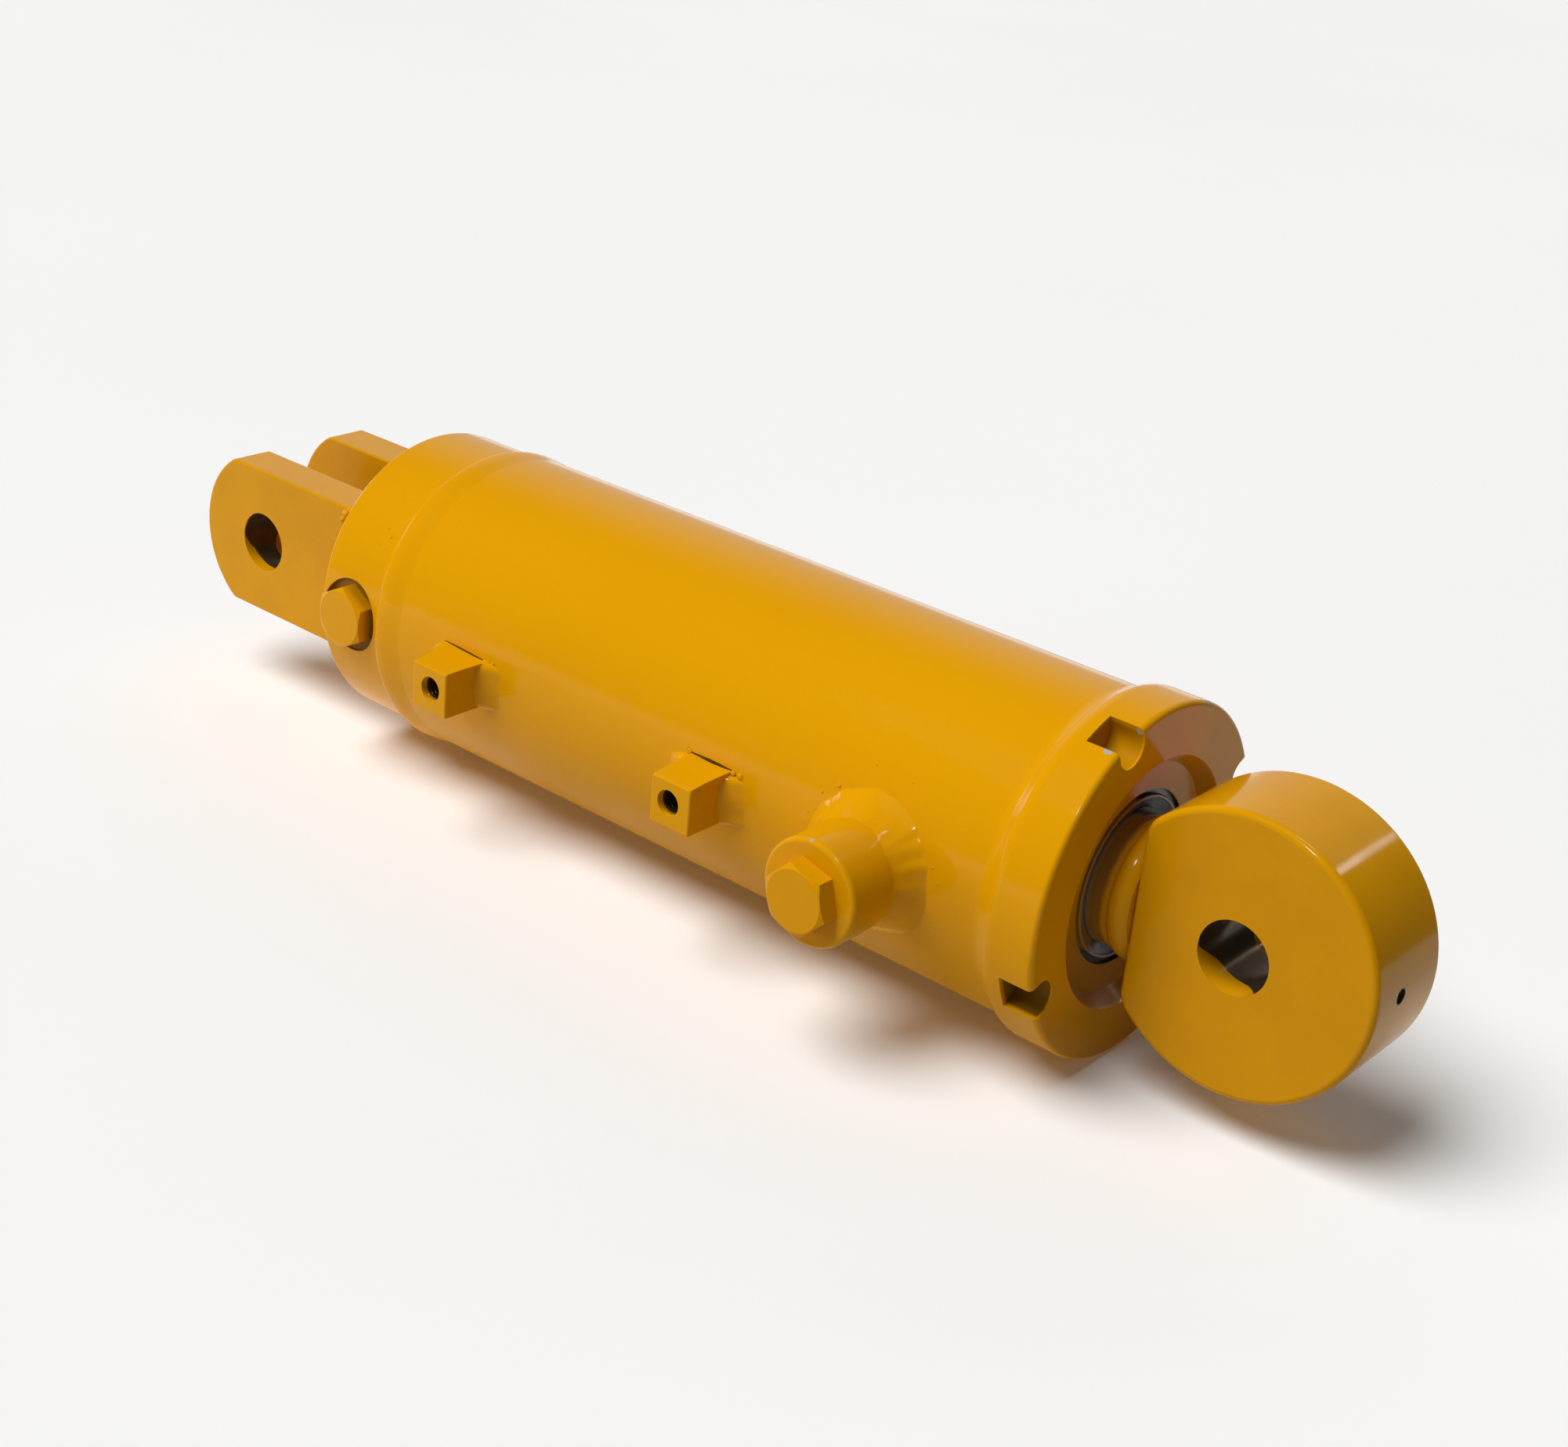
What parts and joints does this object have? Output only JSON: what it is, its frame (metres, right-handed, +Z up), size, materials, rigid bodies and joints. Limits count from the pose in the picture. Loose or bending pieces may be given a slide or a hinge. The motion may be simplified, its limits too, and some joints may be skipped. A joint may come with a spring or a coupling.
{
  "type": "hydraulic cylinder",
  "caption": "Double-acting hydraulic cylinder with a forked clevis at the base, threaded head gland, side ports, welded tapped blocks and a rod with a pin eye.",
  "frame": {"origin": "centre of the clevis pin bore, midway between the two ears", "axes": "+X along the cylinder from the clevis to the rod eye, Y along both pin bores with the ports facing -Y, +Z up"},
  "size_m": [0.5794, 0.1705, 0.135],
  "materials": {
    "yellow_paint": "glossy yellow machine enamel over welded steel, slight orange peel",
    "rod_chrome": "hard chrome, ground and polished",
    "piston_iron": "turned ductile iron, oiled",
    "nut_steel": "machined steel, oiled",
    "seal_rubber": "black nitrile rubber",
    "seal_polyurethane": "blue polyurethane",
    "ptfe": "filled PTFE",
    "wear_ring_resin": "fabric-reinforced phenolic resin"
  },
  "bodies": {
    "barrel": {"cylinder_tube": "yellow_paint", "base_cap": "yellow_paint", "base_cap_weld": "yellow_paint", "clevis_ear_left": "yellow_paint", "clevis_ear_right": "yellow_paint", "clevis_weld_left": "yellow_paint", "clevis_weld_right": "yellow_paint", "base_port_plug": "yellow_paint", "base_plug_o_ring": "seal_rubber", "rod_port_boss": "yellow_paint", "rod_port_weld": "yellow_paint", "rod_port_plug": "yellow_paint", "rod_plug_o_ring": "seal_rubber", "base_bracket_block": "yellow_paint", "base_bracket_weld": "yellow_paint", "rod_bracket_block": "yellow_paint", "rod_bracket_weld": "yellow_paint", "head_gland": "yellow_paint", "head_o_ring": "seal_rubber", "head_backup_ring": "ptfe", "head_inner_wear_ring": "wear_ring_resin", "buffer_seal": "seal_polyurethane", "rod_seal": "seal_polyurethane", "head_outer_wear_ring": "wear_ring_resin", "rod_wiper": "seal_rubber"},
    "piston_rings": {"piston_seal": "ptfe", "piston_seal_expander": "seal_rubber", "piston_wear_rings": "wear_ring_resin"},
    "rod": {"piston_rod": "rod_chrome", "piston": "piston_iron", "piston_o_ring": "seal_rubber", "piston_nut": "nut_steel", "rod_eye": "yellow_paint", "rod_eye_weld": "yellow_paint"}
  },
  "joints": [
    {"name": "rod_slide", "type": "slide", "parent": "barrel", "child": "piston_rings", "axis": [1, 0, 0], "range_m": [0, 0.18]},
    {"name": "rod_turn", "type": "hinge", "parent": "piston_rings", "child": "rod", "pos_m": [0.4881, 0, 0], "axis": [1, 0, 0], "continuous": true}
  ]
}
